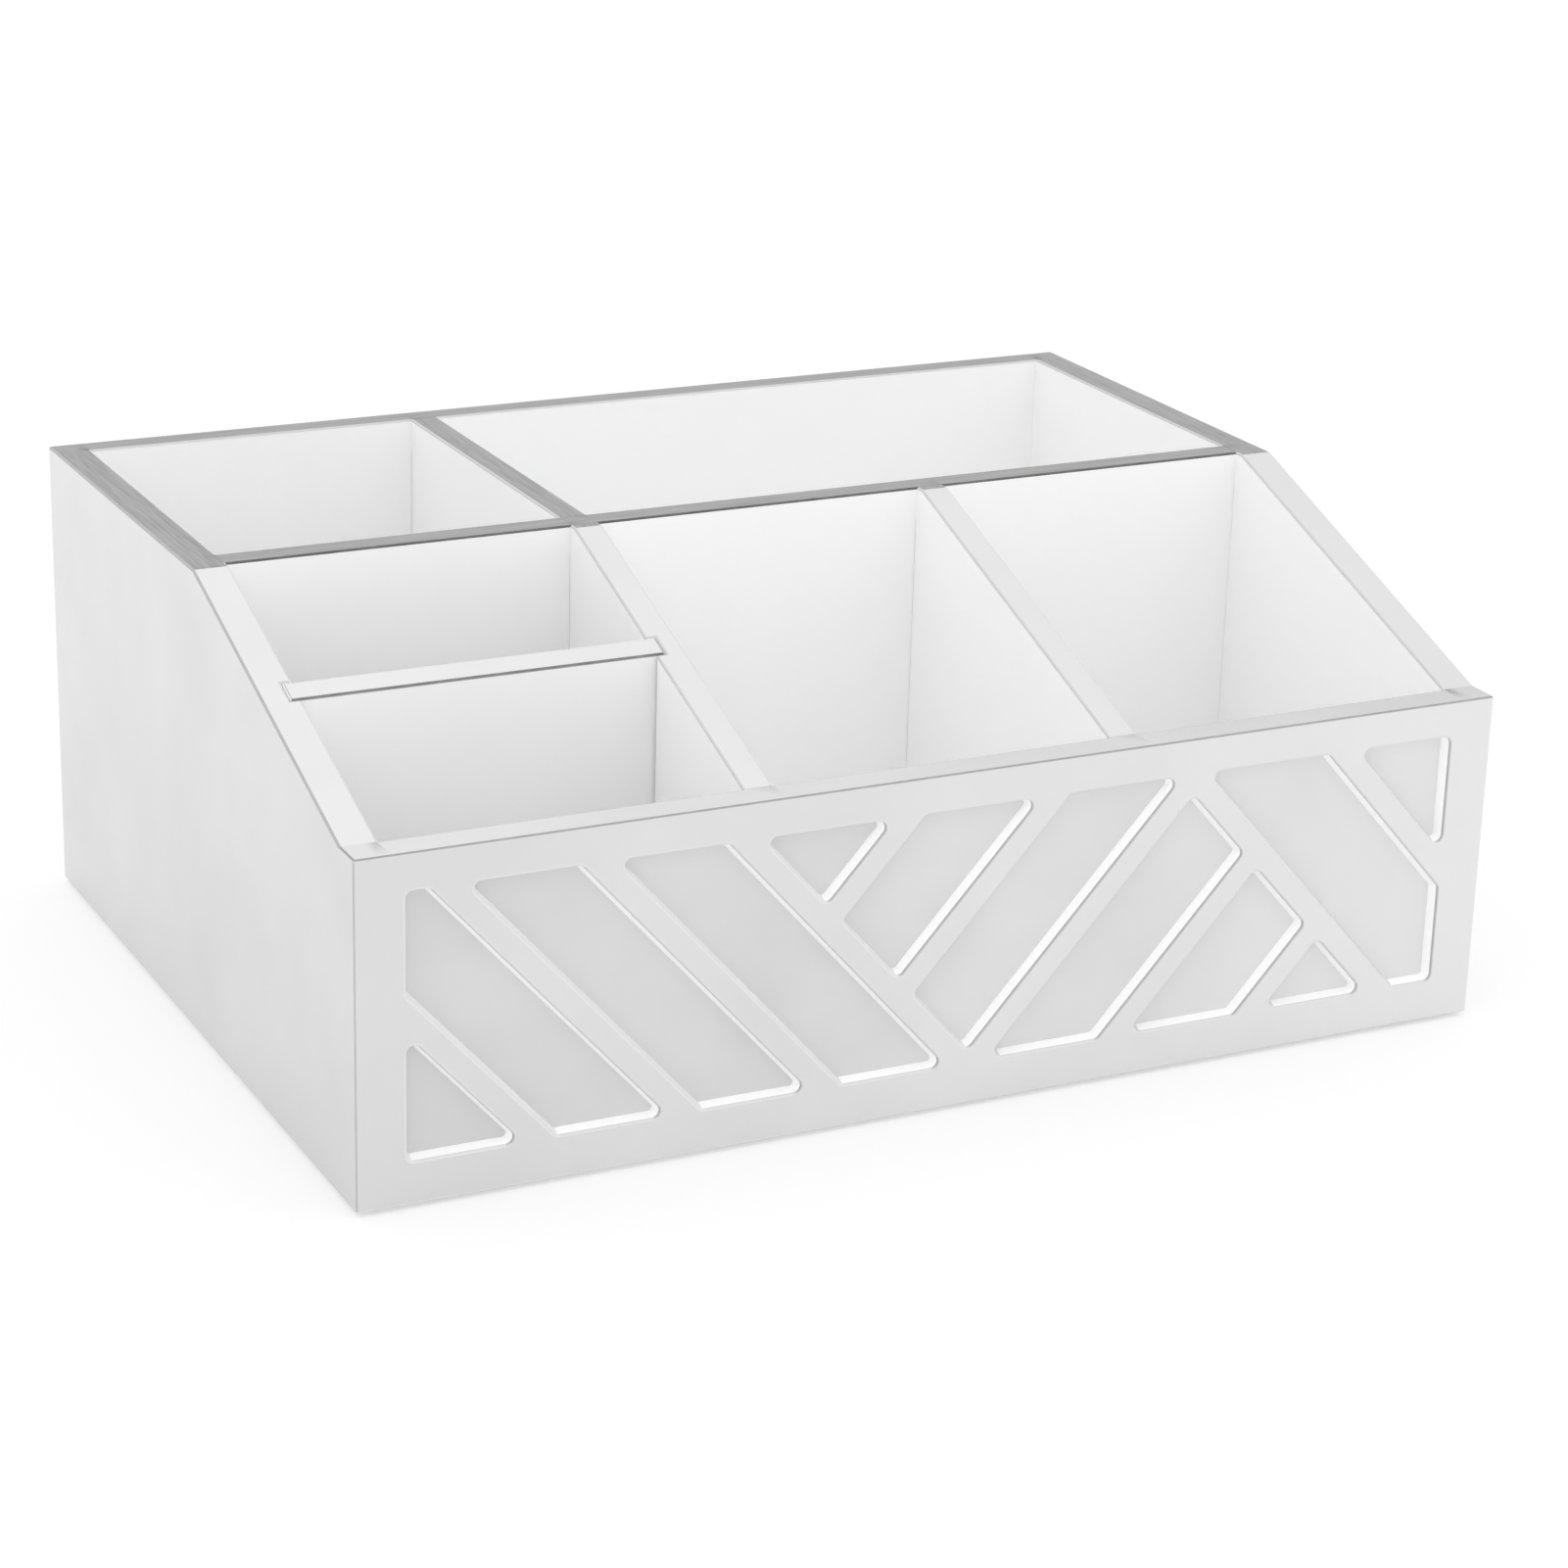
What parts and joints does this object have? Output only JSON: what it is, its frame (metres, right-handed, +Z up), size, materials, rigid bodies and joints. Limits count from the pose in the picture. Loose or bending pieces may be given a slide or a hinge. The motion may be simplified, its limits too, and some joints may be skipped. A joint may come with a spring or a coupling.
{
  "type": "coffee station organizer",
  "caption": "White painted desktop organizer box with sloping sides, a carved slanting-rib front, tall rear bays, divided front bays and a lift-out divider.",
  "frame": {"origin": "centre of the footprint on the surface it stands on", "axes": "+X to the right seen from the carved front, +Y from the front to the back, +Z up"},
  "size_m": [0.4, 0.3, 0.1615],
  "materials": {
    "painted_board": "medium density fibreboard, routed and sprayed with satin white paint",
    "dowel_wood": "plain beech dowel",
    "pad_rubber": "soft moulded pad, matt pale grey"
  },
  "bodies": {
    "box": {"base_panel": "painted_board", "left_side": "painted_board", "right_side": "painted_board", "front_panel": "painted_board", "back_panel": "painted_board", "cross_partition": "painted_board", "rear_divider": "painted_board", "front_divider_left": "painted_board", "front_divider_right": "painted_board", "front_left_dowels": "dowel_wood", "front_right_dowels": "dowel_wood", "back_left_dowels": "dowel_wood", "back_right_dowels": "dowel_wood", "foot_pad_front_left": "pad_rubber", "foot_pad_front_right": "pad_rubber", "foot_pad_back_left": "pad_rubber", "foot_pad_back_right": "pad_rubber"},
    "loose_divider": {"removable_divider": "painted_board"}
  },
  "joints": [
    {"name": "divider_lift", "type": "slide", "parent": "box", "child": "loose_divider", "axis": [0, 0, 1], "range_m": [0, 0.135]}
  ]
}
